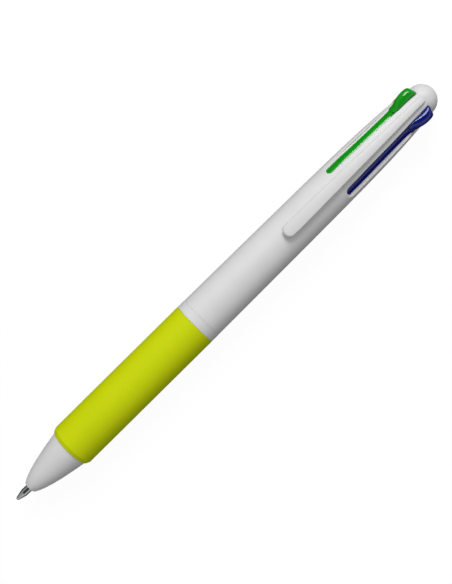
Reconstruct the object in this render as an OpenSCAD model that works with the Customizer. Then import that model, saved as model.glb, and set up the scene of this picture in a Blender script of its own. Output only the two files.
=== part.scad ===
// Four-colour click pen, made as the pieces that it comes apart into on a bench.
//
// Every piece is drawn in the pen's own frame: Z runs from the writing point at 0 up to the
// dome, and +Y points at the clip. laid() then lays the pen down along +X with the clip on
// top, so that the grip rests on z = 0 and the origin is under the pen's middle.
// Each slider and its refill is drawn facing +X and turned to its place around the axis.

/* [Pen] */
// Length from the writing point to the top of the dome
pen_l = 145; // [143:0.5:150]
// How far the writing point stands out of the nose when a refill is out
nib_out = 4.3; // [3.8:0.1:4.8]
// Travel of a slider, and of its refill
stroke = 10; // [9:0.5:10.5]
// Radial gap between a sliding piece and its guide
slide_gap = 0.05; // [0.03:0.01:0.08]
// Radial gap where one piece only passes another
pass_gap = 0.15; // [0.12:0.01:0.18]

/* [Lower barrel] */
// Length of the nose cone
nose_l = 14.3; // [13.5:0.1:15.5]
// Radius of the nose's front rim
rim_r = 1.48; // [1.4:0.01:1.6]
// Roundness of the nose cone: 1 is a straight cone
nose_power = 0.45; // [0.42:0.01:0.5]
// Radius of the hole that the writing tip comes out of
exit_r = 1.2; // [1.16:0.01:1.25]
// Wall of the nose cone
nose_wall = 0.7; // [0.6:0.05:0.75]
// Radius of the tube that carries the grip
seat_r = 5.34; // [5.3:0.02:5.5]
// Wall of that tube
tube_wall = 1.04; // [0.8:0.02:1.1]
// Length of the collar between the grip and the upper barrel
collar_l = 2.3; // [1.5:0.1:3]
// Radius of the collar
collar_r = 6.03; // [5.9:0.01:6.1]
// Length of the threaded spigot
spigot_l = 7.9; // [7.6:0.1:9]
// Radius of the spigot at the bottom of its thread
spigot_r = 5; // [4.95:0.01:5.05]
// Height of the thread
thread_h = 0.2; // [0.15:0.01:0.22]
// Distance from one thread turn to the next
thread_pitch = 1.5; // [1.3:0.1:1.6]

/* [Grip] */
// Length of the rubber grip
grip_l = 43.4; // [40:0.2:45]
// Radius of the grip
grip_r = 6.05; // [5.95:0.01:6.4]
// Length of the rounded lip at the grip's front
lip_l = 1.2; // [0.8:0.1:2]
// Step of the grip's front lip above the nose
lip_step = 0.12; // [0.05:0.01:0.3]

/* [Upper barrel] */
// Radius of the upper barrel at its front
barrel_r = 6; // [5.9:0.02:6.1]
// Even taper of the upper barrel over its whole length
barrel_taper = 0.5; // [0.4:0.02:0.6]
// Further fall of its radius at the rounded rear
barrel_fall = 1.4; // [1.3:0.02:1.5]
// How late that fall comes
fall_power = 7; // [6:1:9]
// Radius of the wide bore that the refills lie in
bore_r = 4.95; // [4.93:0.01:4.98]
// Radius of the narrow bore between the slots
rail_bore_r = 3.4; // [3.35:0.01:3.45]
// Length of the four slots, up to the barrel's rear end
slot_l = 29.5; // [29:0.1:29.9]
// Width of a slot right through the wall
slot_w = 2.2; // [2.1:0.02:2.3]
// Width of the sunk channel around a slot
channel_w = 2.95; // [2.9:0.01:3.1]
// Height of the channel's floor above the axis at its front end
floor_r = 4.77; // [4.74:0.01:4.79]
// Fall of that floor per millimetre
floor_slope = 0.0175; // [0.015:0.0005:0.019]
// Wall in front of a slot, outside the wide bore
slot_web = 0.9; // [0.7:0.05:1.2]
// Thickness of the ribs that stiffen the wide bore and back the guide plate
rib_t = 0.8; // [0.6:0.05:0.9]
// Height of those ribs
rib_h = 0.9; // [0.8:0.05:1]

/* [Guide plate] */
// Thickness of the plate that keeps the refills apart
guide_t = 2; // [1.5:0.1:2.5]

/* [Sliders] */
// Length of a slider
slider_l = 35; // [34.5:0.1:36]
// Height of the refill's upper end above the axis
line_r = 2.9; // [2.86:0.01:2.94]
// Height of a drawn-in writing tip above the axis
park_r = 2.3; // [2.28:0.01:2.34]
// Height of the slider's inner face above the axis
rail_in = 2.2; // [2.15:0.01:2.3]
// Width of the rail that runs inside the narrow bore
rail_w = 2.6; // [2.5:0.02:2.7]
// Rise of the stem above the channel's floor
stem_rise = 0.06; // [0.03:0.01:0.08]
// Length of the thumb pad
pad_l = 7.4; // [7.2:0.05:7.5]
// Width of the thumb pad
pad_w = 2.8; // [2.7:0.02:2.84]
// Height of the pad's crest above the axis
pad_top = 6.26; // [6.1:0.02:6.4]
// Height of the pad's front shoulder above the axis
pad_front = 5.85; // [5.7:0.02:5.95]
// Length of the latch lug
lug_l = 2; // [1.5:0.1:2.5]
// Height of the lug's inner face above the axis
lug_in = 1.6; // [1.55:0.01:1.7]
// Distance from the slider's front to the lug
lug_from = 17; // [16:0.5:18]
// Length of the pin that plugs into a refill
pin_l = 6; // [5:0.5:7]

/* [Refills] */
// Radius of a refill tube
tube_r = 1.15; // [1.1:0.01:1.16]
// Radius of its bore
tube_bore_r = 0.85; // [0.8:0.01:0.88]
// Length of the metal writing tip that is out of the tube
tip_l = 10; // [9:0.5:11]
// Radius of the writing tip's straight part
tip_r = 1.04; // [1:0.01:1.06]
// Length of its tapered front
tip_taper_l = 2.3; // [2.1:0.1:2.6]
// Length of the stub that is pressed into the tube
stub_l = 4; // [3:0.5:5]
// Radius of the writing ball
ball_r = 0.5; // [0.45:0.01:0.5]
// Radius of the ink channel through the tip
ink_way_r = 0.35; // [0.3:0.01:0.38]
// Length of empty tube between the ink and the slider's pin
air_l = 7; // [4:1:20]

/* [Springs] */
// Radius of the spring wire
wire_r = 0.15; // [0.12:0.01:0.16]
// Turns of a spring
spring_turns = 10; // [8:1:12]

/* [Cap] */
// Radius of the dome
dome_r = 4.1; // [4.05:0.01:4.15]
// Straight band under the dome
cap_band = 0.5; // [0.4:0.05:0.8]
// Length of the cap's plug inside the barrel
plug_l = 6; // [5:0.5:7]
// Width of the plug's four arms
plug_arm_w = 1; // [0.8:0.05:1.05]
// Radius of the latch post
post_r = 1; // [0.9:0.02:1.1]
// Length of the ring on the latch post
latch_l = 2; // [1.5:0.1:2.5]
// How far a slider is pushed past the latch ring before it hooks on
latch_play = 0.3; // [0.2:0.05:0.4]

/* [Clip] */
// Length of the clip in front of the cap
clip_l = 47.6; // [44:0.2:50]
// Height of the clip's free end above the pen's axis
clip_h = 7.4; // [7.3:0.02:7.6]
// Fall of the clip's back from its free end to its pivot
clip_fall = 2.6; // [2.5:0.02:2.7]
// How late that fall comes
clip_power = 3.5; // [3.2:0.1:3.8]
// Thickness of the clip
clip_t = 1.1; // [1:0.05:1.2]
// Width of the clip near its free end
clip_w = 3.5; // [3.3:0.02:3.7]
// Width of the clip at its root
clip_root_w = 1.86; // [1.7:0.02:1.95]
// How late the clip narrows
clip_narrow = 1.2; // [1:0.1:1.4]
// Gap between the nub under the clip and the barrel
nub_gap = 0.1; // [0.05:0.01:0.15]
// Radius of the nub
nub_r = 1.1; // [1:0.05:1.2]
// Radius of the pivot bead at the clip's root
bead_r = 0.5; // [0.45:0.01:0.52]
// Thickness of the neck between the bead and the clip
neck_t = 0.7; // [0.6:0.02:0.8]

/* [Hidden] */
$fn = 64;
STEPS = 24;            // bands along a curved outline
CUT = 20;              // reach of a cut past the pen
KISS = 0.02;           // press-fit gap that stands for a tight face

// Places along the pen
nose_s = nib_out + nose_l;
collar_s = nose_s + grip_l;
joint_s = collar_s + collar_l;
spigot_s = joint_s + spigot_l;
guide_s = spigot_s + guide_t;
cap_s = pen_l - dome_r - cap_band;
slot_s = cap_s - slot_l;
wide_s = slot_s - slot_web;

// Lower barrel
rim_share = pow(rim_r / seat_r, 1 / nose_power);
nose_apex = (nib_out - rim_share * nose_s) / (1 - rim_share);
tube_in_r = seat_r - tube_wall;
thread_from = 0.9;
thread_rise = 0.3;
thread_turns = floor((spigot_l - 2 * thread_from) / thread_pitch);

// Sliders: drawn at rest against the cap
rail_r = rail_bore_r - 2 * slide_gap;
stem_w = slot_w - 2 * slide_gap;
slider_rear = cap_s - slide_gap;
slider_front = slider_rear - slider_l;
pad_s = slider_rear - pad_l;
pad_crest = 0.67 * pad_l;
pad_shoulder = 0.27 * pad_l;
pad_corner = 0.9;
pin_r = tube_bore_r - 0.13;

// Refills: a refill swings about the middle of its slider's pin, so that the tip goes
// through the nose's hole when it is out and lies clear of the others when it is in
refill_l = slider_front - stroke;
cross_s = nib_out + 0.2;
pivot_s = slider_front - pin_l / 2;
tilt_out = atan(line_r / (pivot_s - stroke - cross_s));
pivot_to_tip = (pivot_s - stroke) / cos(tilt_out);
tilt_in = asin((line_r - park_r) / pivot_to_tip);
tube_end = pivot_to_tip + pin_l / 2;
ink_l = tube_end - pin_l - air_l - tip_l - stub_l;

// Springs
spring_r = tube_r + 0.08 + wire_r;

// Cap and clip
clip_pivot_s = cap_s + 1;
clip_pivot_y = dome_r - 0.65;
clip_free_s = cap_s - clip_l;
clip_tip_l = 1.6;
clip_lift = 0.2;
nub_s = clip_free_s + 2.7;
hub_r = rail_in - pass_gap;
latch_r = lug_in - 2 * slide_gap;
latch_s = slider_front + lug_from + lug_l - stroke + latch_play;
post_front = latch_s - 3;

// Each ink: its name, its place around the axis, whether it is out, and its colours
INKS = [
    ["black", 225, true, "#232323", "#151515"],
    ["green", 45, false, "#1c8a26", "#0b7910"],
    ["blue", 135, false, "#1c2a86", "#26388e"],
    ["red", 315, false, "#b81d1d", "#c22020"],
];
PIECES = ["slider", "spring", "tube", "tip", "ball", "ink"];
CASING = ["lower_barrel", "grip_sleeve", "refill_guide", "upper_barrel", "end_cap", "latch_post"];

// ---- Outlines ----

// Outer radius of the nose cone at a place along the pen
function nose_r(s) = seat_r * pow((s - nose_apex) / (nose_s - nose_apex), nose_power);

// Outer radius of the upper barrel
function upper_r(s) =
    let (u = min(1, (s - joint_s) / (cap_s - joint_s)))
    barrel_r - barrel_taper * u - barrel_fall * pow(u, fall_power);

// Height of the sunk channel's floor
function channel_floor(s) = floor_r - floor_slope * (s - slot_s);

// Height of the clip's back
function clip_back(s) =
    clip_h - clip_fall * pow((s - clip_free_s) / (clip_pivot_s - clip_free_s), clip_power);

// Height of the clip's underside: never lower than clip_lift above the barrel
function clip_under(s) =
    max(clip_back(s) - clip_t, upper_r(min(s, cap_s)) + clip_lift);

// Half width of the clip
function clip_half(s) =
    let (v = max(0, (s - clip_free_s) / (cap_s - clip_free_s)))
    (clip_w - (clip_w - clip_root_w) * pow(min(1, v), clip_narrow)) / 2;

// STEPS + 1 even places from a to b
function places(a, b, n = STEPS) = [for (i = [0:n]) a + (b - a) * i / n];

// The points of an elliptic arc
function arc(cx, cy, rx, ry, from, to, n = 8) =
    [for (a = places(from, to, n)) [cx + rx * cos(a), cy + ry * sin(a)]];

// The thread's ridges, from the front, on a core of radius r
function thread(r, from) = [
    for (i = [0:thread_turns - 1])
        for (p = [[0, 0], [thread_h, thread_rise], [thread_h, 2 * thread_rise], [0, 3 * thread_rise]])
            [r + p[0], from + i * thread_pitch + p[1]]
];

// Lays the pen down: Z goes to +X, and the clip's side, +Y, to +Z
module laid() translate([-pen_l / 2, 0, grip_r]) rotate([90, 0, 90]) children();

// A flat outline of [height above the axis, place along the pen], given a width
module radial_slab(points, width)
    rotate([90, 0, 0]) translate([0, 0, -width / 2]) linear_extrude(width) polygon(points);

// ---- Casing ----

module lower_barrel() color("#d8d9da") laid() rotate_extrude() polygon(concat(
    [[exit_r, nib_out + 0.15], [exit_r + 0.1, nib_out], [rim_r - 0.12, nib_out]],
    [for (s = places(nib_out + 0.1, nose_s)) [nose_r(s), s]],
    [[seat_r, collar_s], [collar_r - 0.1, collar_s], [collar_r, collar_s + 0.1]],
    [[collar_r, joint_s - 0.1], [collar_r - 0.1, joint_s], [spigot_r, joint_s]],
    thread(spigot_r, joint_s + thread_from),
    [[spigot_r, spigot_s - 0.3], [spigot_r - 0.3, spigot_s], [tube_in_r, spigot_s]],
    [for (s = places(nose_s, nib_out + 1)) [max(exit_r, min(tube_in_r, nose_r(s) - nose_wall)), s]]
));

module grip_sleeve() color("#b0c306") laid() rotate_extrude() polygon(concat(
    [[seat_r, collar_s - KISS], [seat_r, nose_s], [seat_r + lip_step, nose_s]],
    arc(seat_r + lip_step, nose_s + lip_l, grip_r - seat_r - lip_step, lip_l, -80, 0),
    [[grip_r, collar_s - KISS - 0.15], [grip_r - 0.15, collar_s - KISS]]
));

// A plate with a slotted hole for each refill, which lets the refill lean
module refill_guide() {
    hole_r = tube_r + 0.1;
    near_r = line_r - (pivot_s - stroke - spigot_s) * tan(tilt_out);
    far_r = line_r - (pivot_s - guide_s) * tan(tilt_in);
    color("#c9cac8") laid() translate([0, 0, spigot_s]) linear_extrude(guide_t) difference() {
        circle(bore_r - slide_gap);
        for (ink = INKS) rotate(ink[1]) {
            translate([near_r, 0]) circle(hole_r);
            translate([far_r, 0]) circle(hole_r);
            translate([near_r, -hole_r]) square([far_r - near_r, 2 * hole_r]);
        }
    }
}

// The tube of the upper barrel, before its slots are cut
module barrel_tube() {
    socket_r = spigot_r + slide_gap;
    rotate_extrude() polygon(concat(
        [[socket_r, joint_s], [barrel_r - 0.12, joint_s]],
        [for (s = places(joint_s + 0.12, cap_s)) [upper_r(s), s]],
        [[rail_bore_r, cap_s], [rail_bore_r, wide_s], [bore_r, wide_s]],
        [[bore_r, spigot_s + pass_gap], [socket_r, spigot_s + pass_gap]],
        [for (i = [0:4 * thread_turns - 1]) let (p = thread(socket_r, joint_s + thread_from))
            p[4 * thread_turns - 1 - i]]
    ));
}

// One slot: a sunk channel with a round front end, and a narrower way through the wall
module slot_cut() {
    intersection() {
        rotate([90, 0, 90]) linear_extrude(CUT) {
            translate([0, slot_s + channel_w / 2]) circle(channel_w / 2);
            translate([-channel_w / 2, slot_s + channel_w / 2]) square([channel_w, slot_l]);
        }
        radial_slab([
            [channel_floor(slot_s), slot_s - 1], [CUT, slot_s - 1],
            [CUT, cap_s + 1], [channel_floor(cap_s), cap_s + 1],
        ], channel_w * 2);
    }
    intersection() {
        translate([0, -slot_w / 2, wide_s - KISS]) cube([bore_r, slot_w, slot_l + 2]);
        cylinder(r = bore_r - slide_gap, h = pen_l * 2);
    }
}

module upper_barrel() color("#dcdddc") laid() difference() {
    union() {
        barrel_tube();
        for (a = [0:90:270]) rotate(a) translate([bore_r - rib_h, -rib_t / 2, guide_s])
            cube([rib_h + (barrel_r - bore_r) / 3, rib_t, wide_s - guide_s + slot_web / 2]);
    }
    for (ink = INKS) rotate(ink[1]) slot_cut();
}

module end_cap() color("#dcdddc") laid() difference() {
    union() {
        rotate_extrude() polygon(concat(
            [[0, cap_s], [dome_r, cap_s]],
            arc(0, cap_s + cap_band, dome_r, dome_r, 0, 90, 24)
        ));
        translate([0, 0, cap_s - plug_l]) cylinder(r = hub_r, h = plug_l + 0.1);
        intersection() {
            for (a = [0, 90]) rotate(a) translate([-CUT / 2, -plug_arm_w / 2, cap_s - plug_l + 1])
                cube([CUT, plug_arm_w, plug_l - 0.9]);
            cylinder(r = rail_bore_r - KISS, h = pen_l);
        }
    }
    translate([0, 0, cap_s - plug_l - 1]) cylinder(r = post_r, h = plug_l);
    clip_seat();
}

// The round groove in the cap that the clip's bead turns in, and the room for its neck
module clip_seat() {
    half = clip_root_w / 2 + pass_gap;
    room = neck_t + 2 * pass_gap;
    translate([0, clip_pivot_y, clip_pivot_s]) {
        rotate([0, 90, 0]) cylinder(r = bead_r + slide_gap, h = 2 * half, center = true);
        translate([-half, 0, -room / 2]) cube([2 * half, CUT, room]);
    }
}

// The post in the middle of the sliders, whose ring a pressed slider's lug hooks under
module latch_post() color("#c9cac8") laid() rotate_extrude() polygon([
    [0, post_front], [post_r - 0.3, post_front], [post_r, post_front + 0.5],
    [post_r, latch_s], [latch_r, latch_s], [latch_r, latch_s + 0.6],
    [post_r, latch_s + latch_l], [post_r, cap_s - 1], [0, cap_s - 1],
]);

// ---- Clip ----

module clip_arm() {
    rear_s = clip_pivot_s + neck_t / 2;
    front_s = clip_pivot_s - neck_t / 2;
    tail_under = dome_r + pass_gap;
    color("#dcdddc") laid() {
        intersection() {
            rotate([90, 0, 90]) translate([0, 0, -clip_w]) linear_extrude(2 * clip_w) polygon(concat(
                [for (s = places(clip_free_s + clip_tip_l, front_s))
                    [max(clip_under(s), s > cap_s - 1 ? tail_under : 0), s]],
                [[clip_pivot_y, front_s], [clip_pivot_y, rear_s], [clip_back(rear_s), rear_s]],
                [for (s = places(rear_s, clip_free_s + clip_tip_l)) [clip_back(s), s]],
                arc(clip_back(clip_free_s + clip_tip_l) - clip_t, clip_free_s + clip_tip_l,
                    clip_t, clip_tip_l, -0, -90)
            ));
            clip_plan();
        }
        translate([0, clip_pivot_y, clip_pivot_s]) rotate([0, 90, 0])
            cylinder(r = bead_r, h = clip_root_w, center = true);
        intersection() {
            translate([0, upper_r(nub_s) + nub_gap + nub_r, nub_s]) rotate([0, 90, 0])
                cylinder(r = nub_r, h = clip_w, center = true);
            clip_plan();
            translate([-CUT, 0, 0]) cube([2 * CUT, clip_back(nub_s) - clip_t / 2, pen_l]);
        }
    }
}

// The clip seen from above: it narrows towards the root and has a round free end
module clip_plan() {
    end_s = clip_free_s + clip_tip_l;
    end_half = clip_half(end_s);
    right = concat(
        arc(end_half - clip_tip_l, end_s, clip_tip_l, clip_tip_l, -90, 0),
        [for (s = places(end_s, cap_s)) [clip_half(s), s]],
        [[clip_root_w / 2, pen_l]]
    );
    n = len(right);
    rotate([90, 0, 0]) mirror([0, 0, 1]) linear_extrude(CUT)
        polygon(concat(right, [for (i = [1:n]) [-right[n - i][0], right[n - i][1]]]));
}

// ---- Sliders and refills, each drawn facing +X ----

// Puts a slider, drawn against the cap, where it is at rest
module slid(ink) rotate(ink[1]) translate([0, 0, ink[2] ? -stroke : 0]) children();

module slider(ink) color(ink[4]) laid() slid(ink) union() {
    rail();
    stem();
    pad();
    translate([line_r, 0, slider_front - pin_l]) cylinder(r = pin_r, h = pin_l + 0.1);
}

// The part that runs inside the narrow bore, with the latch lug on its inner side
module rail() intersection() {
    union() {
        translate([rail_in, -rail_w / 2, slider_front]) cube([rail_bore_r, rail_w, slider_l]);
        translate([lug_in, -rail_w / 2, slider_front + lug_from]) cube([rail_bore_r, rail_w, lug_l]);
    }
    cylinder(r = rail_r, h = pen_l);
}

// The strip that shows in the slot
module stem() intersection() {
    translate([rail_in, -stem_w / 2, slider_front]) cube([bore_r, stem_w, slider_l]);
    rotate_extrude() polygon(concat(
        [[0, slider_front]],
        [for (s = places(slider_front, slider_rear))
            [min(bore_r - pass_gap, channel_floor(s) + stem_rise), s]],
        [[0, slider_rear]]
    ));
}

// The thumb pad: a rounded ramp in front, a crest, and a rounded back
module pad() {
    base = channel_floor(pad_s - stroke) + stem_rise;
    root = channel_floor(slider_rear - stroke) + stem_rise;
    intersection() {
        union() {
            radial_slab(concat(
                [[root, slider_rear], [base, pad_s]],
                [for (a = places(0, 90, 6))
                    [base + 0.1 + (pad_front - base - 0.1) * sin(a), pad_s + pad_shoulder * a / 90]],
                arc(root, pad_s + pad_crest, pad_top - root, pad_l - pad_crest, 0, 90)
            ), pad_w);
            translate([rail_in, -stem_w / 2, pad_s + 1]) cube([base - rail_in + 0.1, stem_w, pad_l - 1]);
        }
        linear_extrude(pen_l) union() {
            translate([0, -pad_w / 2]) square([pad_top - pad_corner, pad_w]);
            translate([0, -pad_w / 2 + pad_corner]) square([pad_top, pad_w - 2 * pad_corner]);
            for (side = [-1, 1]) translate([pad_top - pad_corner, side * (pad_w / 2 - pad_corner)])
                circle(pad_corner);
        }
    }
}

// Puts a refill, drawn upright from its writing point at 0, on its slider's pin
module leant(ink) slid(ink) translate([line_r, 0, pivot_s])
    rotate([0, ink[2] ? tilt_out : tilt_in, 0]) translate([0, 0, -pivot_to_tip]) children();

module tube(ink) color("#e9e7de") laid() leant(ink) translate([0, 0, tip_l]) difference() {
    cylinder(r = tube_r, h = tube_end - tip_l - KISS);
    translate([0, 0, -1]) cylinder(r = tube_bore_r, h = tube_end);
}

module tip(ink) color("#9a9c93") laid() leant(ink) difference() {
    rotate_extrude() polygon(concat(
        [[0, 0.28], [ball_r - 0.12, 0.28], [ball_r + 0.02, 0.5]],
        [for (a = places(15, 90, 8))
            [ball_r + 0.02 + (tip_r - ball_r - 0.02) * sin(a), 0.5 + (tip_taper_l - 0.5) * a / 90]],
        [[tip_r, tip_l], [tube_bore_r, tip_l], [tube_bore_r, tip_l + stub_l - 0.3]],
        [[tube_bore_r - 0.2, tip_l + stub_l], [0, tip_l + stub_l]]
    ));
    translate([0, 0, ball_r]) sphere(r = ball_r + KISS);
    cylinder(r = ink_way_r, h = pen_l, center = false);
}

module ball(ink) color("#c8c9c4") laid() leant(ink) translate([0, 0, ball_r]) sphere(r = ball_r);

module ink_column(ink) color(ink[3]) laid() leant(ink) translate([0, 0, tip_l + stub_l])
    cylinder(r = tube_bore_r, h = ink_l);

// ---- Springs ----

// Place of a refill's centre line at s along the pen
function lean_x(ink, s) =
    let (reach = ink[2] ? stroke : 0, tilt = ink[2] ? tilt_out : tilt_in)
    line_r - (pivot_s - reach - s) * tan(tilt);

// A wire of five sides swept along a helix around the refill's centre line
module spring(ink) {
    front = guide_s + wire_r + KISS;
    rear = slider_front - (ink[2] ? stroke : 0) - wire_r - KISS;
    per_turn = 10;
    sides = 5;
    n = spring_turns * per_turn;
    points = [for (i = [0:n]) let (
            turn = i * 360 / per_turn,
            s = front + (rear - front) * i / n,
            x = lean_x(ink, s)
        ) for (k = [0:sides - 1]) let (
            a = k * 360 / sides,
            r = spring_r + wire_r * cos(a)
        ) [x + r * cos(turn), r * sin(turn), s + wire_r * sin(a)]];
    faces = concat(
        [[for (k = [0:sides - 1]) k]],
        [for (i = [0:n - 1]) for (k = [0:sides - 1]) let (
            a = i * sides + k, b = i * sides + (k + 1) % sides
        ) each [[a, a + sides, b], [b, a + sides, b + sides]]],
        [[for (k = [sides - 1:-1:0]) n * sides + k]]
    );
    color("#a9aca8") laid() rotate(ink[1]) polyhedron(points, faces);
}

lower_barrel();
grip_sleeve();
refill_guide();
upper_barrel();
end_cap();
latch_post();
clip_arm();
for (ink = INKS) {
    slider(ink);
    spring(ink);
    tube(ink);
    tip(ink);
    ball(ink);
    ink_column(ink);
}
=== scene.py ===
"""Four-colour click pen: the pieces that are seen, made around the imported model.

Shapes are worked out in millimetres in the pen's own terms: s is the place along the pen from
the writing point, y is across, and z is the height above the pen's axis, towards the clip.
A slider or refill has u, its height above the axis, and v, across it.
"""

import math

import bpy
import numpy as np
from mathutils import Matrix, Vector


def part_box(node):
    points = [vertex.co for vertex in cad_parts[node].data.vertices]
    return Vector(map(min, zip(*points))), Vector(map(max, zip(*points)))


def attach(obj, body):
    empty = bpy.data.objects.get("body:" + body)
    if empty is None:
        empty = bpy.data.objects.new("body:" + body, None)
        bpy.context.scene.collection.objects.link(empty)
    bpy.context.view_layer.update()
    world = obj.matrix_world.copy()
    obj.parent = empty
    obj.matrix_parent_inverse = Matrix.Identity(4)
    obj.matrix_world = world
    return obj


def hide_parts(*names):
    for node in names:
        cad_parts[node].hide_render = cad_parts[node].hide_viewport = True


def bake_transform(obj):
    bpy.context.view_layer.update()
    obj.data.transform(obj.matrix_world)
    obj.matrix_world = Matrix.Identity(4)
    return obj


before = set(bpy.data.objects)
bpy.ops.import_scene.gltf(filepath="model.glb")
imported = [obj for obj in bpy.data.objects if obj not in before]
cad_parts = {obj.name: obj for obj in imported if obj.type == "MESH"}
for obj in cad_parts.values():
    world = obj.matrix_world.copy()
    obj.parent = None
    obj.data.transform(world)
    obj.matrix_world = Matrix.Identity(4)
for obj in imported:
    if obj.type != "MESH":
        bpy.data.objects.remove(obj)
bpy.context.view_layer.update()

MM = 0.001
PEN_L = 145.0
AXIS_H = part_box("grip_sleeve")[1].z / MM / 2      # the grip rests on z = 0


def along(node):
    """Where a CAD node starts and ends along the pen."""
    low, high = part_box(node)
    return low.x / MM + PEN_L / 2, high.x / MM + PEN_L / 2


# Places along the pen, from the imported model
NIB_OUT = along("lower_barrel")[0]
NOSE_S, GRIP_END = along("grip_sleeve")
JOINT_S, CAP_S = along("upper_barrel")
SPIGOT_S = along("lower_barrel")[1]
GUIDE_S = along("refill_guide")[1]
SLIDER_FRONT = along("green_slider")[0] + 6.0     # behind its pin
SLIDER_REAR = along("green_slider")[1]
STROKE = SLIDER_REAR - along("black_slider")[1]

# Lower barrel and grip
RIM_R, SEAT_R, NOSE_POWER = 1.48, 5.34, 0.45
EXIT_R, TUBE_IN_R, NOSE_WALL = 1.2, 4.3, 0.7
RIM_S = NIB_OUT + 0.2
COLLAR_R, SPIGOT_R, THREAD_H = 6.03, 5.0, 0.2
GRIP_R, LIP_L, LIP_STEP = 6.05, 0.95, 0.27

# Upper barrel and its slots
BARREL_R, TAPER, FALL, FALL_POWER = 6.0, 0.5, 1.4, 7
BORE_R, RAIL_BORE_R = 4.95, 3.4
SLOT_S, SLOT_HALF = 110.9, 1.1
CHANNEL_HALF, FLOOR_R, FLOOR_SLOPE = 1.475, 4.77, 0.0175
OPEN_S, SHELF_R, SHELF_FADE = SLOT_S + 0.25, 5.08, 8.0
WIDE_S = SLOT_S - 0.9

# Sliders and refills
RAIL_IN, RAIL_HALF, STEM_HALF = 2.2, 1.3, 1.05
STEM_TOP, STEM_FALL, STEM_FALL_S = BORE_R - 0.1, 0.03, 116
PAD_L, PAD_RISE, PAD_RIDGE, PAD_IN, PAD_OUT = 7.4, 0.06, -0.4, 1.38, 1.42
PAD_POWER = 2.2                                   # of the curve of its back
PAD_REACH = SLIDER_REAR - PAD_L - STROKE - 0.3    # as far forward as a pad slides
LUG_IN, LUG_BACK, LUG_HALF = 1.6, 18.0, 1.0       # the lug that the latch post holds
LINE_R, PARK_R, PIN_L, PIN_R = 2.9, 2.3, 6.0, 0.72
TIP_L, STUB_L, TIP_R, BALL_R = 10.0, 4.0, 1.04, 0.5
STUB_R, FEED_R = 0.85, 0.35
WIRE_R, SPRING_R, SPRING_TURNS = 0.15, 1.38, 12

# Cap and clip
DOME_R, BAND, PLUG_L = 4.1, 0.5, 6.0
CLIP_H, CLIP_FALL, CLIP_POWER, CLIP_T = 7.4, 2.6, 2.7, 1.1
CLIP_W, CLIP_ROOT_W, CLIP_NARROW, CLIP_TIP = 3.45, 1.8, 1.1, 1.6
CLIP_FREE = along("clip_arm")[0]
CLIP_CROWN, CLIP_CLEAR = 0.2, 0.2
NUB_IN, NUB_R, NUB_GAP = 2.7, 1.1, 0.1
PLUG_ARM, PLUG_HOLE_R = 0.5, 1.0

# Each ink: its place around the axis, and whether its slider is pressed
INKS = {"black": (225, True), "green": (45, False), "blue": (135, False), "red": (315, False)}


def smooth(a, b, x):
    """0 before a, 1 after b, and a smooth rise between."""
    t = np.clip((x - a) / (b - a), 0, 1)
    return t * t * (3 - 2 * t)


# ---- Node trees ----


class Num:
    """A number in a node tree, written with the usual signs."""

    def __init__(self, build, socket):
        self.build, self.socket = build, socket

    def math(self, operation, *values):
        node = self.build.node("ShaderNodeMath", dict(enumerate(values)), operation=operation)
        return Num(self.build, node.outputs[0])

    def __add__(self, other):
        return self.math("ADD", self, other)

    def __radd__(self, other):
        return self.math("ADD", other, self)

    def __sub__(self, other):
        return self.math("SUBTRACT", self, other)

    def __rsub__(self, other):
        return self.math("SUBTRACT", other, self)

    def __mul__(self, other):
        return self.math("MULTIPLY", self, other)

    def __rmul__(self, other):
        return self.math("MULTIPLY", other, self)

    def __truediv__(self, other):
        return self.math("DIVIDE", self, other)

    def __rtruediv__(self, other):
        return self.math("DIVIDE", other, self)

    def __pow__(self, other):
        return self.math("POWER", self, other)

    def __mod__(self, other):
        return self.math("FLOORED_MODULO", self, other)

    def least(self, other):
        return self.math("MINIMUM", self, other)

    def most(self, other):
        return self.math("MAXIMUM", self, other)

    def unit(self):
        return self.most(0.0).least(1.0)


class Build:
    """Adds nodes to a tree."""

    def __init__(self, tree):
        self.tree = tree

    def node(self, kind, inputs=None, **settings):
        """A node with its settings, then its inputs' values or links, by name or number."""
        made = self.tree.nodes.new(kind)
        for name, value in settings.items():
            setattr(made, name, value)
        for key, value in (inputs or {}).items():
            socket = made.inputs[key]
            if isinstance(value, Num):
                value = value.socket
            if isinstance(value, bpy.types.NodeSocket):
                self.tree.links.new(value, socket)
            else:
                socket.default_value = value
        return made

    def num(self, node, output=0):
        return Num(self, node.outputs[output])


# ---- Finishes ----


def finish(name):
    """A new material and the builder of its tree, with only an output in it."""
    material = bpy.data.materials.new(name)
    material.use_nodes = True
    build = Build(material.node_tree)
    build.tree.nodes.clear()
    return material, build


def noise(build, scale, detail=2.0, stretch=(1, 1, 1)):
    """Cloudy noise from 0 to 1, with about that many waves in a millimetre."""
    coords = build.node("ShaderNodeTexCoord").outputs["Object"]
    if stretch != (1, 1, 1):
        coords = build.node("ShaderNodeMapping", {"Vector": coords, "Scale": stretch}).outputs[0]
    node = build.node(
        "ShaderNodeTexNoise", {"Vector": coords, "Scale": scale / MM, "Detail": detail}
    )
    return build.num(node, "Fac")


def srgb(red, green, blue):
    """A colour as it is seen on a screen, made linear."""
    def linear(v):
        v /= 255
        return v / 12.92 if v <= 0.04045 else ((v + 0.055) / 1.055) ** 2.4
    return (linear(red), linear(green), linear(blue), 1.0)


def surface(build, material, colour, rough, height=None, bump=0.0, **fixed):
    """The shader, whose colour and roughness may be links, and whose other values are set on it."""
    inputs = {"Base Color": colour, "Roughness": rough} | fixed
    if height is not None:
        inputs["Normal"] = build.node(
            "ShaderNodeBump", {"Height": height, "Strength": 1.0, "Distance": bump * MM}
        ).outputs[0]
    shader = build.node("ShaderNodeBsdfPrincipled", inputs)
    build.node("ShaderNodeOutputMaterial", {"Surface": shader.outputs[0]})
    return material


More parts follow.
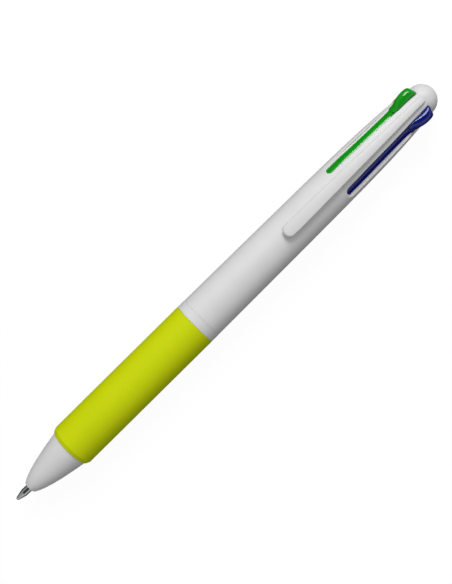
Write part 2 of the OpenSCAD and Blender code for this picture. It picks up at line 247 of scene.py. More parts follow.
def mixed(build, share, first, second):
    """Two colours mixed, whose sockets have the same names as those for numbers."""
    node = build.node("ShaderNodeMix", {"Factor": share, 6: first, 7: second}, data_type="RGBA")
    return node.outputs[2]


def moulded(name, light, dark, rough, grain=0.0012, **fixed):
    """Moulded plastic: faint flow clouds, a fine orange-peel skin and lengthwise rubbing marks."""
    material, build = finish(name)
    clouds = noise(build, 0.18, 3.0)
    rubbed = noise(build, 1.6, 3.0, (0.08, 1, 1))
    peel = noise(build, 6.0, 2.0)
    colour = mixed(build, ((clouds - 0.5) * 1.6 + 0.5).unit(), light, dark)
    roughness = rough * ((rubbed - 0.5) * 0.35 + (clouds - 0.5) * 0.15 + 1.0)
    return surface(build, material, colour, roughness, peel, grain, **fixed)


def rubber(name, light, dark):
    """Soft-touch rubber: a dense fine stipple, and slightly shinier where fingers hold it."""
    material, build = finish(name)
    clouds = noise(build, 0.12, 3.0)
    stipple = noise(build, 9.0, 1.0)
    held = noise(build, 0.05, 2.0, (0.5, 1, 1))
    colour = mixed(build, ((clouds - 0.5) * 1.4 + 0.5).unit(), light, dark)
    return surface(
        build, material, colour, 0.56 + (stipple - 0.5) * 0.1 - (held - 0.5) * 0.12, stipple, 0.004,
        **{"Specular IOR Level": 0.12},
    )


def metal(name, light, dark, rough, rings=0.0):
    """Turned or drawn metal: fine rings round the piece, and slightly uneven polish."""
    material, build = finish(name)
    turned_marks = noise(build, 5.0, 2.0, (4, 0.3, 0.3))
    patches = noise(build, 0.9, 3.0)
    colour = mixed(build, patches, light, dark)
    return surface(
        build, material, colour, rough + (patches - 0.5) * 0.1, turned_marks, rings, Metallic=1.0
    )


WHITE = moulded(
    "white_moulding", srgb(231, 231, 231), srgb(225, 225, 226), 0.45, **{"Specular IOR Level": 0.3}
)
NATURAL = moulded("natural_moulding", srgb(214, 214, 208), srgb(204, 204, 199), 0.5, 0.002)
LIME = rubber("lime_grip_rubber", srgb(213, 227, 4), srgb(207, 222, 2))
SLIDER_FINISH = {
    ink: moulded(f"{ink}_slider_moulding", light, dark, 0.1, 0.0002)
    for ink, light, dark in (
        ("black", srgb(34, 34, 36), srgb(26, 26, 28)),
        ("green", srgb(8, 156, 16), srgb(6, 147, 12)),
        ("blue", srgb(3, 21, 124), srgb(2, 17, 115)),
        ("red", srgb(196, 22, 22), srgb(184, 16, 16)),
    )
}
TUBE_FINISH = moulded("refill_tube", srgb(236, 234, 226), srgb(228, 226, 216), 0.4)
INK_FINISH = {
    ink: moulded(f"{ink}_ink", light, dark, 0.12, 0.0003)
    for ink, light, dark in (
        ("black", srgb(18, 18, 20), srgb(12, 12, 14)),
        ("green", srgb(6, 96, 30), srgb(4, 84, 24)),
        ("blue", srgb(16, 26, 120), srgb(10, 18, 104)),
        ("red", srgb(170, 14, 20), srgb(150, 10, 16)),
    )
}
TIP_FINISH = metal("turned_nickel_silver", srgb(204, 209, 206), srgb(190, 195, 192), 0.16, 0.0004)
BALL_FINISH = metal("ground_ball", srgb(170, 172, 172), srgb(160, 162, 162), 0.12)
WIRE_FINISH = metal("drawn_spring_wire", srgb(186, 188, 186), srgb(168, 170, 168), 0.25, 0.0004)


# ---- Meshes ----


def lay(points):
    """Points (s, y, z) in millimetres, in the frame of the model."""
    points = np.asarray(points, float)
    return (points - (PEN_L / 2, 0, -AXIS_H)) * MM


def piece(name, points, faces, material, body, nodes=(), normals=None):
    """A mesh object that rides on a body when one body's name is given, and stays fixed in place
    otherwise; it stands for CAD nodes and takes its finish from a slot.
    """
    mesh = bpy.data.meshes.new(name)
    mesh.from_pydata([tuple(p) for p in lay(points)], [], [tuple(int(i) for i in f) for f in faces])
    mesh.polygons.foreach_set("use_smooth", [True] * len(mesh.polygons))
    if normals is not None:
        mesh.normals_split_custom_set_from_vertices([tuple(n) for n in normals])
    return shown(name, mesh, material, body, nodes)


def shown(name, mesh, material, body, nodes=()):
    """A finished mesh as an object of the scene."""
    made = bpy.data.objects.new(name, mesh)
    bpy.context.scene.collection.objects.link(made)
    mesh.materials.clear()
    mesh.materials.append(material)
    if isinstance(body, str):
        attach(made, body)
    else:
        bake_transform(made)
    if nodes:
        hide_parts(*nodes)
    return made


def fillet(outline, radii):
    """A closed outline of (s, r) points with its corners rounded, and the direction out of it at
    each point. A radius of 0 keeps a point that lies on a smooth curve."""
    points, facing = [], []
    count = len(outline)
    for i, (corner, radius) in enumerate(zip(outline, radii)):
        here = np.array(corner, float)
        before = here - np.array(outline[i - 1], float)
        after = np.array(outline[(i + 1) % count], float) - here
        a, b = before / np.hypot(*before), after / np.hypot(*after)
        out_a, out_b = np.array([-a[1], a[0]]), np.array([-b[1], b[0]])
        turn = math.acos(np.clip(a @ b, -1, 1))
        reach = min(radius * math.tan(turn / 2), 0.45 * np.hypot(*before), 0.45 * np.hypot(*after))
        if radius == 0 or turn < 0.02:
            points.append(here)
            facing.append((out_a + out_b) / np.hypot(*(out_a + out_b)))
            continue
        steps = 1 + math.ceil(turn / 0.3)
        for k in range(steps + 1):
            t = k / steps
            start, end = here - a * reach, here + b * reach
            points.append((1 - t) ** 2 * start + 2 * t * (1 - t) * here + t * t * end)
            out = (1 - t) * out_a + t * out_b
            facing.append(out / np.hypot(*out))
    return np.array(points), np.array(facing)


def turned(outline, radii, sides=96):
    """Points, faces and normals of an outline turned round the axis. It runs forward, towards
    greater s, on the outside, so that its left side faces out."""
    rim, facing = fillet(outline, radii)
    angles = np.arange(sides) * 2 * math.pi / sides
    around = np.stack([np.cos(angles), np.sin(angles)], 1)
    def spun(pairs):
        flat = np.concatenate([
            np.broadcast_to(pairs[:, None, :1], (len(pairs), sides, 1)),
            pairs[:, None, 1:] * around[None],
        ], 2)
        return flat.reshape(-1, 3)
    n = len(rim)
    faces = [
        (i * sides + k, i * sides + (k + 1) % sides, j * sides + (k + 1) % sides, j * sides + k)
        for i in range(n) for j in [(i + 1) % n] for k in range(sides)
    ]
    return spun(rim), faces, spun(facing)


def closed_at_axis(points, faces, normals):
    """Merges the points of an outline's ends that lie on the axis."""
    key = np.round(points / 1e-5).astype(np.int64)
    _, first, index = np.unique(key, axis=0, return_index=True, return_inverse=True)
    index = index.reshape(-1)
    kept = []
    for face in faces:
        ring = [index[i] for i in face]
        ring = [v for k, v in enumerate(ring) if v != ring[k - 1]]
        if len(set(ring)) > 2:
            kept.append(ring)
    return points[first], kept, normals[first]


def skin(field, s_cuts, y_cuts, z_cuts):
    """The closed surface where a field is 0, with its points on it exactly, as quads."""
    cuts = (np.asarray(s_cuts, float), np.asarray(y_cuts, float), np.asarray(z_cuts, float))
    value = field(*np.meshgrid(*cuts, indexing="ij"))
    cells = tuple(n - 1 for n in value.shape)
    total, count = np.zeros((*cells, 3)), np.zeros(cells)
    crossings = []
    for axis in range(3):
        low, high = [slice(None)] * 3, [slice(None)] * 3
        low[axis], high[axis] = slice(0, -1), slice(1, None)
        a, b = value[tuple(low)], value[tuple(high)]
        index = np.stack(np.nonzero((a < 0) != (b < 0)), 1)
        a, b = a[tuple(index.T)], b[tuple(index.T)]
        point = np.stack([cuts[k][index[:, k]] for k in range(3)], 1)
        step = cuts[axis][index[:, axis] + 1] - point[:, axis]
        point[:, axis] += step * a / (a - b)
        one, two = (axis + 1) % 3, (axis + 2) % 3
        ring = []
        for back_one, back_two in ((0, 0), (1, 0), (1, 1), (0, 1)):
            cell = index.copy()
            cell[:, one] -= back_one
            cell[:, two] -= back_two
            np.add.at(total, tuple(cell.T), point)
            np.add.at(count, tuple(cell.T), 1)
            ring.append(cell)
        crossings.append((ring, a < 0))
    number = np.full(cells, -1)
    number[count > 0] = np.arange(np.count_nonzero(count))
    points = total[count > 0] / count[count > 0][:, None]
    faces = []
    for ring, leaving in crossings:
        quad = np.stack([number[tuple(cell.T)] for cell in ring], 1)
        faces.append(quad[leaving])
        faces.append(quad[~leaving][:, ::-1])
    faces = np.concatenate(faces)
    for _ in range(6):
        slope = gradient(field, points)
        size = np.maximum((slope ** 2).sum(1), 0.05)
        move = slope * (field(*points.T) / size)[:, None]
        far = np.maximum(np.sqrt((move ** 2).sum(1)) / 0.06, 1)
        points = points - move / far[:, None]
    slope = gradient(field, points)
    return points, faces, slope / np.sqrt((slope ** 2).sum(1))[:, None]


def gradient(field, points, reach=0.01):
    return np.stack([
        (field(*(points + step).T) - field(*(points - step).T)) / (2 * reach)
        for step in np.eye(3) * reach
    ], 1)


def both(a, b, radius):
    """What lies in both shapes, with a rounded edge where they meet."""
    return np.minimum(-radius, np.maximum(a, b)) + np.hypot(
        np.maximum(a + radius, 0), np.maximum(b + radius, 0)
    )


def either(a, b, radius):
    """What lies in either shape, with a fillet where they meet."""
    return np.maximum(radius, np.minimum(a, b)) - np.hypot(
        np.maximum(radius - a, 0), np.maximum(radius - b, 0)
    )


def cuts(*runs):
    """Places from the first run's start, in runs of (end, step), the first as (start, None)."""
    places = [runs[0]]
    for end, step in runs[1:]:
        n = max(1, round((end - places[-1]) / step))
        places += list(places[-1] + (end - places[-1]) * np.arange(1, n + 1) / n)
    return places


# ---- Lower barrel, grip ----

RIM_SHARE = (RIM_R / SEAT_R) ** (1 / NOSE_POWER)
NOSE_APEX = (NIB_OUT - RIM_SHARE * NOSE_S) / (1 - RIM_SHARE)


def nose_r(s):
    return SEAT_R * ((s - NOSE_APEX) / (NOSE_S - NOSE_APEX)) ** NOSE_POWER


def lower_barrel():
    outer = [(s, nose_r(s)) for s in np.linspace(RIM_S + 0.12, NOSE_S, 40)]
    inner = [
        (s, max(EXIT_R, min(TUBE_IN_R, nose_r(s) - NOSE_WALL)))
        for s in np.linspace(NOSE_S, RIM_S + 1, 30)
    ]
    outline = [(RIM_S, EXIT_R), (RIM_S, nose_r(RIM_S))] + outer + [
        (GRIP_END + 0.02, SEAT_R), (GRIP_END + 0.02, COLLAR_R), (JOINT_S, COLLAR_R),
        (JOINT_S, SPIGOT_R), (SPIGOT_S, SPIGOT_R), (SPIGOT_S, TUBE_IN_R),
    ] + inner
    radii = [0.15, 0.25] + [0] * len(outer) + [0.05, 0.14, 0.14, 0.05, 0.3, 0.1] + [0] * len(inner)
    points, faces, normals = turned(outline, radii, 128)
    piece(
        "nose_and_collar", points, faces, WHITE, "casing", ["lower_barrel"],
        normals,
    )


def grip():
    outline = [
        (NOSE_S, SEAT_R + 0.005), (NOSE_S, SEAT_R + LIP_STEP), (NOSE_S + LIP_L, GRIP_R),
        (GRIP_END, GRIP_R), (GRIP_END, SEAT_R + 0.005),
    ]
    points, faces, normals = turned(outline, [0.02, 0.06, 0.3, 0.1, 0.02], 128)
    piece("finger_grip", points, faces, LIME, "casing", ["grip_sleeve"], normals)


# ---- Upper barrel ----


def upper_r(s):
    u = np.clip((s - JOINT_S) / (CAP_S - JOINT_S), 0, 1)
    return BARREL_R - TAPER * u - FALL * u ** FALL_POWER


def channel_floor(s):
    return FLOOR_R - FLOOR_SLOPE * (s - SLOT_S)


def shelf(s):
    """Height of the ledges beside a slot, which step down where the pads slide over them."""
    return channel_floor(s) + (SHELF_R - FLOOR_R) * smooth(PAD_REACH, PAD_REACH - SHELF_FADE, s)


def facing(y, z, angle):
    """u towards an angle round the axis, and v across it."""
    c, s = math.cos(math.radians(angle)), math.sin(math.radians(angle))
    return y * c + z * s, z * c - y * s


def round_axis(angle):
    """Turns (s, u, v) into (s, y, z) at an angle round the axis."""
    c, s = math.cos(math.radians(angle)), math.sin(math.radians(angle))
    return np.array([[1, 0, 0], [0, c, -s], [0, s, c]])


def stadium(s, v, start, half):
    """Distance to a slot that starts with a round end and goes on to the rear."""
    return np.hypot(np.minimum(s - start - half, 0), v) - half


def barrel_field(s, y, z):
    radius = np.hypot(y, z)
    socket = np.maximum(radius - SPIGOT_R - THREAD_H - 0.06, s - SPIGOT_S - 0.1)
    bore = np.minimum(np.maximum(radius - BORE_R, s - WIDE_S), radius - RAIL_BORE_R)
    wall = both(radius - upper_r(s), np.maximum(JOINT_S - s, s - CAP_S), 0.12 - 0.11 * (s > WIDE_S))
    wall = both(wall, -np.minimum(bore, socket), 0.06)
    rim = 0.3 - 0.15 * smooth(CAP_S - 20, CAP_S - 9, s)
    for angle, _ in INKS.values():
        u, v = facing(y, z, angle)
        channel = both(stadium(s, v, SLOT_S, CHANNEL_HALF), shelf(s) - u, 0.1)
        way = np.maximum(np.maximum(np.abs(v) - SLOT_HALF, WIDE_S - s), u - BORE_R)
        opened = np.minimum(way, stadium(s, v, OPEN_S, SLOT_HALF))
        wall = both(wall, -channel, rim)
        wall = both(wall, -np.maximum(opened, -u), 0.1)
    return wall


def upper_barrel():
    s_cuts = cuts(
        JOINT_S - 0.15, (JOINT_S + 0.45, 0.1), (SPIGOT_S - 0.3, 2.5), (SPIGOT_S + 0.5, 0.2),
        (WIDE_S - 0.4, 3.0), (OPEN_S + 1.8, 0.09), (CAP_S - 0.1, 0.8), (CAP_S + 0.06, 0.02),
    )
    half = cuts(0.11, (0.99, 0.22), (2.0, 0.07), (4.5, 0.25), (5.7, 0.075), (6.15, 0.11))
    grid = np.array([-x for x in half[::-1]] + half)
    turn = round_axis(45)                 # lays the slots along the grid
    points, faces, normals = skin(
        lambda s, a, b: barrel_field(s, *np.tensordot(turn[1:, 1:], np.stack([a, b]), 1)),
        s_cuts, grid, grid,
    )
    piece(
        "slotted_barrel", points @ turn.T, faces, WHITE, "casing",
        ["upper_barrel"], normals @ turn.T,
    )


# ---- Cap and clip, which is one springy moulding ----


def clip_back(s):
    """Height of the clip's back, which sinks into the dome behind the barrel."""
    fall = CLIP_FALL * np.clip((s - CLIP_FREE) / (CAP_S + 1 - CLIP_FREE), 0, 1.3) ** CLIP_POWER
    return CLIP_H - fall - 1.3 * smooth(CAP_S - 1.2, CAP_S + 2.2, s)


def clip_half(s):
    v = np.clip((s - CLIP_FREE) / (CAP_S - CLIP_FREE), 0, 1)
    return (CLIP_W - (CLIP_W - CLIP_ROOT_W) * v ** CLIP_NARROW) / 2


def clip_field(s, y, z):
    half = clip_half(s)
    end_s = CLIP_FREE + CLIP_TIP
    plan = np.hypot(np.maximum(end_s - s, 0), np.maximum(np.abs(y) - half + CLIP_TIP, 0)) - CLIP_TIP
    plan = np.maximum(plan, np.abs(y) - half)
    back = clip_back(s)
    top = z - back + CLIP_CROWN * (y / half) ** 2
    under = np.maximum(back - CLIP_T, upper_r(s) + CLIP_CLEAR) - z
    arm = both(plan, top, 0.28 + 0.4 * smooth(CLIP_FREE + 4, CLIP_FREE, s))
    arm = both(arm, under, 0.12)
    nub_s = CLIP_FREE + NUB_IN
    nub_z = upper_r(nub_s) + NUB_GAP + NUB_R
    nub = both(np.hypot(s - nub_s, z - nub_z) - NUB_R, plan + 0.25, 0.2)
    nub = np.maximum(nub, z - clip_back(nub_s) + 0.5)
    return either(arm, nub, 0.15)


def cap_field(s, y, z):
    radius = np.hypot(y, z)
    dome = np.hypot(np.maximum(s - CAP_S - BAND, 0), radius) - DOME_R
    dome = both(dome, CAP_S - s, 0.01)
    arm = np.maximum(clip_field(s, y, z), s - CAP_S - 2.5)
    whole = either(dome, arm, 0.03 + 0.9 * smooth(CAP_S - 0.1, CAP_S + 1.8, s))
    whole = np.maximum(whole, -np.maximum(radius - upper_r(s) - 0.15, s - CAP_S))
    hub = np.maximum(radius - RAIL_IN + 0.15, CAP_S - PLUG_L - s)
    arms = np.maximum(np.minimum(np.abs(y), np.abs(z)) - PLUG_ARM, radius - RAIL_BORE_R + 0.02)
    arms = np.maximum(arms, CAP_S - PLUG_L + 1 - s)
    plug = np.maximum(np.minimum(hub, arms), s - CAP_S - 0.2)
    hole = np.maximum(radius - PLUG_HOLE_R, s - CAP_S + 1)
    return np.maximum(np.minimum(whole, plug), -hole)


def cap_and_clip():
    s_cuts = cuts(
        CLIP_FREE - 0.1, (CLIP_FREE + 4.4, 0.11), (CAP_S - PLUG_L - 0.2, 1.0),
        (CAP_S - 0.06, 0.25), (CAP_S + 0.06, 0.02), (CAP_S + 0.4, 0.08), (PEN_L + 0.15, 0.14),
    )
    y_cuts = np.linspace(-DOME_R - 0.15, DOME_R + 0.15, 74)
    z_cuts = np.linspace(-DOME_R - 0.15, CLIP_H + 0.15, 104)
    points, faces, normals = skin(cap_field, s_cuts, y_cuts, z_cuts)
    start = lay([(CAP_S - PLUG_L, 0, 5)])[0]
    end = lay([(CAP_S - PLUG_L - 12, 0, 5)])[0]
    piece(
        "cap_and_clip", points, faces, WHITE, ("casing", "clip", tuple(start), tuple(end)),
        ["end_cap", "clip_arm"], normals,
    )


# ---- Sliders ----

# How far the pad's crest is in front of its rear, and its height above the axis
PAD_CREST = [
    (0.0, 4.60), (0.25, 5.2), (0.6, 5.7), (1.1, 6.02), (1.8, 6.2), (2.6, 6.24), (3.4, 6.16),
    (4.3, 5.97), (5.1, 5.7), (5.9, 5.30), (6.7, 4.85), (7.4, 4.55), (8.2, 4.42), (9.0, 4.38),
    (9.8, 4.38),
]


def spline(knots, x):
    """A smooth curve through knots, read at x."""
    k = np.array(knots)
    tangent = np.gradient(k[:, 1], k[:, 0])
    i = np.clip(np.searchsorted(k[:, 0], x) - 1, 0, len(k) - 2)
    h = k[i + 1, 0] - k[i, 0]
    t = np.clip((x - k[i, 0]) / h, 0, 1)
    return (
        (1 + 2 * t) * (1 - t) ** 2 * k[i, 1] + t * (1 - t) ** 2 * h * tangent[i]
        + t * t * (3 - 2 * t) * k[i + 1, 1] + t * t * (t - 1) * h * tangent[i + 1]
    )


def slider_field(s, u, v):
    """A slider whose side by the clip, or by the underside's middle, is towards +v."""
    front, rear = SLIDER_FRONT, SLIDER_REAR
    ends = np.maximum(front - s, s - rear)
    lug = np.maximum(LUG_IN - u, np.abs(s - front - LUG_BACK) - LUG_HALF)
    rail = np.maximum(np.minimum(RAIL_IN - u, lug), np.hypot(u, v) - RAIL_BORE_R + 0.1)
    rail = both(np.maximum(rail, ends), np.abs(v) - RAIL_HALF, 0.08)
    base = channel_floor(s - STROKE) + PAD_RISE
    crest = spline(PAD_CREST, rear - s)
    top = STEM_TOP - STEM_FALL * np.maximum(s - STEM_FALL_S, 0)
    top = np.where(s > rear - 9, np.maximum(top, np.minimum(crest, base + 0.2)), top)
    crown = np.where(v > 0, 0.38, 0.06) * (v / STEM_HALF) ** 2
    stem = both(np.abs(v) - STEM_HALF, u - top + crown, 0.1)
    stem = np.maximum(stem, np.maximum(ends, RAIL_IN - u))

    pad_s = rear - PAD_L
    flare = STEM_HALF + (PAD_OUT - STEM_HALF) * smooth(pad_s + 1.4, pad_s + 4.2, s)
    half = np.where(v > PAD_RIDGE, PAD_IN - PAD_RIDGE, flare + PAD_RIDGE)
    rise = np.hypot(np.maximum(crest - base, 0), np.where(v > PAD_RIDGE, 0.16, 0.03))
    share = np.abs((v - PAD_RIDGE) / half) ** PAD_POWER
    share += (np.maximum(u - base, 0) / rise) ** PAD_POWER + 1e-9
    pad = (share ** (1 / PAD_POWER) - 1) * np.minimum(half, rise)
    pad = both(pad, base - u, 0.12)
    pad = both(pad, np.maximum(s - rear, pad_s - s), 0.08)
    neck = np.maximum(np.abs(v) - STEM_HALF, np.abs(u - base + 0.45) - 0.45)
    neck = np.maximum(neck, np.abs(s - rear + 3.2) - 3.1)
    pin_s = front - PIN_L / 2
    pin = np.maximum(np.hypot(u - LINE_R, v) - PIN_R, np.abs(s - pin_s) - PIN_L / 2 - 0.1)
    whole = np.maximum(either(np.minimum(stem, neck), pad, 0.3), s - rear)
    ledge = np.maximum(STEM_HALF - np.abs(v), u - base)      # where the barrel's ledges pass
    return np.minimum(np.maximum(whole, -ledge), np.minimum(rail, pin))


def sliders():
    front, rear = SLIDER_FRONT, SLIDER_REAR
    s_cuts = cuts(
        front - PIN_L - 0.2, (front - PIN_L + 0.3, 0.12), (front - 0.3, 1.2), (front + 0.4, 0.1),
        (front + 16.7, 1.2), (front + 19.3, 0.12), (rear - PAD_L - 0.9, 1.0), (rear + 0.12, 0.09),
    )
    u_cuts = cuts(1.45, (2.0, 0.11), (2.4, 0.06), (4.3, 0.12), (5.0, 0.055), (6.45, 0.085))
    v_cuts = np.linspace(-1.55, 1.55, 46)
    points, faces, normals = skin(slider_field, s_cuts, u_cuts, v_cuts)
    for ink, (angle, pressed) in INKS.items():
        hand = 1 if angle % 180 == 45 else -1            # the one beside it is its mirror image
        turn = round_axis(angle) @ np.diag([1, 1, hand])
        placed = points @ turn.T - (STROKE if pressed else 0, 0, 0)
        piece(
            f"{ink}_thumb_slider", placed, faces[:, ::hand], SLIDER_FINISH[ink], f"{ink}_slide",
            [f"{ink}_slider"], normals @ turn.T,
        )


# ---- Refills ----

PIVOT_S = SLIDER_FRONT - PIN_L / 2
TILT_OUT = math.atan(LINE_R / (PIVOT_S - STROKE - NIB_OUT - 0.2))
PIVOT_TO_TIP = (PIVOT_S - STROKE) / math.cos(TILT_OUT)
TILT_IN = math.asin((LINE_R - PARK_R) / PIVOT_TO_TIP)


def leant(points, ink, way=False):
    """Puts what is drawn along s from the writing point on its slider's pin. way is for normals."""
    angle, pressed = INKS[ink]
    tilt = TILT_OUT if pressed else TILT_IN
    c, s = math.cos(tilt), math.sin(tilt)
    lean = np.array([[c, -s, 0], [s, c, 0], [0, 0, 1]])
    if way:
        return points @ (round_axis(angle) @ lean).T
    moved = (points - (PIVOT_TO_TIP, 0, 0)) @ lean.T
    moved += (PIVOT_S - (STROKE if pressed else 0), LINE_R, 0)
    return moved @ round_axis(angle).T


def refill_tips():
    outline = [
        (0.27, 0.33), (0.3, BALL_R - 0.04), (0.5, BALL_R + 0.03), (2.3, TIP_R - 0.04), (2.5, TIP_R),
        (TIP_L, TIP_R), (TIP_L, STUB_R), (TIP_L + STUB_L, STUB_R), (TIP_L + STUB_L, FEED_R),
        (1.0, FEED_R), (0.95, FEED_R + 0.07),
    ]
    radii = [0.02, 0.03, 0.1, 0.08, 0.05, 0.05, 0.05, 0.25, 0.05, 0.02, 0.02]
    points, faces, normals = turned(outline, radii, 64)
    arc = np.linspace(math.pi, 0, 25)
    half = [(BALL_R + BALL_R * math.cos(t), BALL_R * math.sin(t)) for t in arc]
    ball, ball_faces, _ = turned(half, [0] * len(half), 48)
    ball_faces = ball_faces[: (len(half) - 1) * 48]
    ball, ball_faces, _ = closed_at_axis(ball, ball_faces, ball)
    ball_normals = (ball - (BALL_R, 0, 0)) / BALL_R
    for ink in INKS:
        piece(
            f"{ink}_writing_tip", leant(points, ink), faces, TIP_FINISH, f"{ink}_refill",
            [f"{ink}_tip"], leant(normals, ink, True),
        )
        piece(
            f"{ink}_writing_ball", leant(ball, ink), ball_faces, BALL_FINISH, f"{ink}_refill",
            [f"{ink}_ball"], leant(ball_normals, ink, True),
        )


# ---- Coils: the return springs, and the thread between the barrel's halves ----


def coil_tree():
    """A round wire wound along the pen. Its end turns lie closed, and its middle is open."""
    tree = bpy.data.node_groups.new("wound_wire", "GeometryNodeTree")
    tree.is_modifier = True
    names = {}
    for name, value in (
        ("Front", 0.0), ("Rear", 0.0), ("Coil radius", 0.0), ("Wire radius", 0.0), ("Turns", 0.0),
        ("Closed turns", 0.0), ("Front height", 0.0), ("Rear height", 0.0), ("Angle", 0.0),
    ):
        socket = tree.interface.new_socket(name, in_out="INPUT", socket_type="NodeSocketFloat")
        socket.default_value = value
        names[name] = socket.identifier
    socket = tree.interface.new_socket("Finish", in_out="INPUT", socket_type="NodeSocketMaterial")
    names["Finish"] = socket.identifier
    tree.interface.new_socket("Geometry", in_out="OUTPUT", socket_type="NodeSocketGeometry")
    build = Build(tree)
    given = build.node("NodeGroupInput")
    front, rear, radius, wire, turns, closed, low, high, angle = (
        Num(build, given.outputs[i]) for i in range(9)
    )
    per_turn = 24
    count = turns * per_turn + 1
    line = build.node("GeometryNodeMeshLine", {"Count": count})
    index = build.num(build.node("GeometryNodeInputIndex"))
    share = index / (turns * per_turn)
    ends = closed / turns
    open_part = ((share - ends) / (1 - 2 * ends)).unit()
    tight = wire * 2.04 * turns
    place = tight * share + (rear - front - tight) * open_part + front
    height = low + (high - low) * (place - front) / (rear - front)
    turn = index * (2 * math.pi / per_turn)
    u = height + radius * turn.math("COSINE", turn)
    v = radius * turn.math("SINE", turn)
    c, s = angle.math("COSINE", angle), angle.math("SINE", angle)
    where = build.node("ShaderNodeCombineXYZ", {
        0: place - PEN_L / 2 * MM, 1: u * c - v * s, 2: u * s + v * c + AXIS_H * MM,
    })
    path = build.node(
        "GeometryNodeSetPosition", {"Geometry": line.outputs[0], "Position": where.outputs[0]}
    )
    curve = build.node("GeometryNodeMeshToCurve", {"Mesh": path.outputs[0]})
    ring = build.node("GeometryNodeCurvePrimitiveCircle", {"Resolution": 10, "Radius": wire})
    swept = build.node(
        "GeometryNodeCurveToMesh",
        {"Curve": curve.outputs[0], "Profile Curve": ring.outputs[0], "Fill Caps": True},
    )
    smoothed = build.node("GeometryNodeSetShadeSmooth", {"Geometry": swept.outputs[0]})
    whole = build.node("GeometryNodeRealizeInstances", {"Geometry": smoothed.outputs[0]})
    painted = build.node(
        "GeometryNodeSetMaterial", {"Geometry": whole.outputs[0], "Material": given.outputs[9]}
    )
    build.node("NodeGroupOutput", {"Geometry": painted.outputs[0]})
    return tree, names


def grown(name, tree, names, values):
    """The mesh that a tree makes with those inputs."""
    holder = bpy.data.objects.new(name, bpy.data.meshes.new(name))
    bpy.context.scene.collection.objects.link(holder)
    modifier = holder.modifiers.new(name, "NODES")
    modifier.node_group = tree
    for key, value in values.items():
        modifier[names[key]] = value
    graph = bpy.context.evaluated_depsgraph_get()
    mesh = bpy.data.meshes.new_from_object(holder.evaluated_get(graph))
    bpy.data.objects.remove(holder)
    mesh.name = name
    return mesh


def springs():
    tree, names = coil_tree()
    for ink, (angle, pressed) in INKS.items():
        reach, tilt = (STROKE, TILT_OUT) if pressed else (0, TILT_IN)
        front, rear = GUIDE_S + WIRE_R + 0.02, SLIDER_FRONT - reach - WIRE_R - 0.02
        def height(s):
            return LINE_R - (PIVOT_S - reach - s) * math.tan(tilt)
        mesh = grown(f"{ink}_return_spring", tree, names, {
            "Front": front * MM, "Rear": rear * MM, "Coil radius": SPRING_R * MM,
            "Wire radius": WIRE_R * MM, "Turns": float(SPRING_TURNS), "Closed turns": 1.5,
            "Front height": height(front) * MM, "Rear height": height(rear) * MM,
            "Angle": math.radians(angle), "Finish": WIRE_FINISH,
        })
        ends = [tuple(lay([(s, 0, 0)])[0]) for s in (front, rear)]
        shown(
            mesh.name, mesh, WIRE_FINISH, ("casing", f"{ink}_slide", *ends),
            [f"{ink}_spring"],
        )
    thread = grown("spigot_thread", tree, names, {
        "Front": (JOINT_S + 1.2) * MM, "Rear": (JOINT_S + 7.2) * MM,
        "Coil radius": (SPIGOT_R - 0.02) * MM, "Wire radius": THREAD_H * MM, "Turns": 4.0,
        "Closed turns": 0.0, "Front height": 0.0, "Rear height": 0.0, "Angle": 0.0, "Finish": WHITE,
    })
    shown(thread.name, thread, WHITE, "casing")


# ---- Camera, floor and light ----


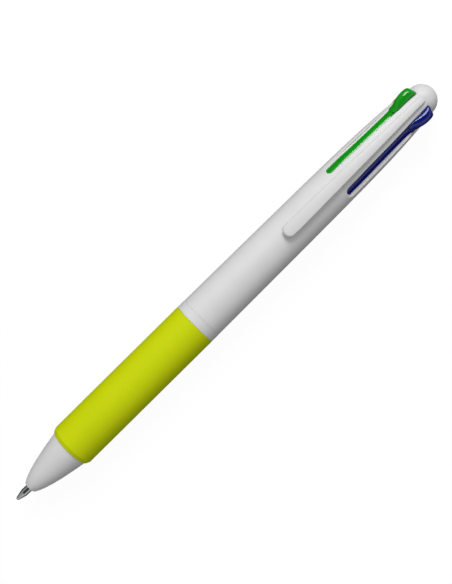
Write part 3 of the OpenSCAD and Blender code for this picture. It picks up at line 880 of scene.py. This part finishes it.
def studio():
    scene = bpy.context.scene
    scene.view_settings.view_transform = "Standard"
    camera = bpy.data.objects.new("camera", bpy.data.cameras.new("camera"))
    scene.collection.objects.link(camera)
    camera.data.lens, camera.data.sensor_width = 57.2, 36
    camera.data.clip_start, camera.data.clip_end = 0.005, 20
    roll, rise = math.radians(44.67), 0.2305
    right = Vector((math.cos(roll), -math.sin(roll), 0))
    up = Vector((math.sin(roll), math.cos(roll), 0))
    place = Vector((0.00062, 0.00023, AXIS_H * MM + rise))
    camera.matrix_world = Matrix((
        (right.x, up.x, 0, place.x), (right.y, up.y, 0, place.y), (0, 0, 1, place.z),
        (0, 0, 0, 1),
    ))
    scene.camera = camera

    def ray(build, *kinds):
        """1 for rays of those kinds, and 0 for the others."""
        path = build.node("ShaderNodeLightPath")
        return sum((build.num(path, f"Is {kind} Ray") for kind in kinds), 0.0).unit()

    def ramp(value, start, end):
        return ((value - start) / (end - start)).unit()

    def card(name, corners, height):
        mesh = bpy.data.meshes.new(name)
        mesh.from_pydata([(x, y, height) for x, y in corners], [], [(0, 1, 2, 3)])
        made = bpy.data.objects.new(name, mesh)
        scene.collection.objects.link(made)
        material, build = finish(name)
        mesh.materials.append(material)
        return made, build

    _, build = card("pale_floor", [(-3, -3), (3, -3), (3, 3), (-3, 3)], 0)
    paper = build.node("ShaderNodeBsdfDiffuse", {"Color": (0.06, 0.06, 0.06, 1)})
    glow = build.node(
        "ShaderNodeEmission",
        {"Color": (1, 1, 1, 1), "Strength": ray(build, "Camera", "Glossy", "Transmission") * 0.955},
    )
    lit = build.node("ShaderNodeAddShader", {0: paper.outputs[0], 1: glow.outputs[0]})
    build.node("ShaderNodeOutputMaterial", {"Surface": lit.outputs[0]})

    # Black cards on the floor beside the pen, which only its gloss sees: they draw its edges
    for side in (-1, 1):
        near, far = side * 0.008, side * 0.5
        flag, build = card(
            f"black_card_{'left' if side > 0 else 'right'}",
            [(-0.4, near), (0.4, near), (0.4, far), (-0.4, far)], 0.0003,
        )
        black = build.node("ShaderNodeBsdfDiffuse", {"Color": (0.02, 0.02, 0.02, 1)})
        build.node("ShaderNodeOutputMaterial", {"Surface": black.outputs[0]})
        flag.visible_camera = flag.visible_diffuse = flag.visible_shadow = False
        flag.visible_transmission = flag.visible_volume_scatter = False

    # A white world, which lights the pen a little more from above. What is shiny sees a dark
    # ceiling and a bright band round it instead
    world = bpy.data.worlds.new("studio")
    scene.world = world
    world.use_nodes = True
    build = Build(world.node_tree)
    build.tree.nodes.clear()
    way = build.node(
        "ShaderNodeSeparateXYZ", {0: build.node("ShaderNodeTexCoord").outputs["Generated"]}
    )
    left, height = build.num(way, 1), build.num(way, 2)
    band = ramp(height, 0.1, 0.25) * ramp(height, 0.86, 0.66)
    mirrored = band * (left * -0.2 + 0.5) + 0.06
    seen, shiny = ray(build, "Camera", "Transmission"), ray(build, "Glossy")
    light = shiny * mirrored + (1.0 - shiny) * (height * 0.2 + 0.31)
    sky = build.node(
        "ShaderNodeBackground", {"Color": (1, 1, 1, 1), "Strength": seen + (1.0 - seen) * light}
    )
    build.node("ShaderNodeOutputWorld", {"Surface": sky.outputs[0]})

    def lamp(name, towards, distance, size, watts):
        data = bpy.data.lights.new(name, "AREA")
        data.shape, data.size, data.energy = "DISK", size, watts
        light = bpy.data.objects.new(name, data)
        scene.collection.objects.link(light)
        way = Vector(towards).normalized()
        light.location = way * distance
        light.rotation_euler = way.to_track_quat("Z", "Y").to_euler()
        light.visible_camera = False

    lamp("key", (0.6, 0.77, 1.0), 0.7, 0.34, 2.8)


lower_barrel()
grip()
upper_barrel()
cap_and_clip()
sliders()
refill_tips()
springs()

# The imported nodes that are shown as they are, by the last word of their names
PACKED_FINISH = {
    "tube": TUBE_FINISH, "guide": NATURAL, "post": NATURAL, "spring": WIRE_FINISH,
}
for node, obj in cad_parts.items():
    first, last = node.split("_")[0], node.split("_")[-1]
    material = INK_FINISH[first] if last == "ink" else PACKED_FINISH.get(last, WHITE)
    obj.data.materials.clear()
    obj.data.materials.append(material)

studio()
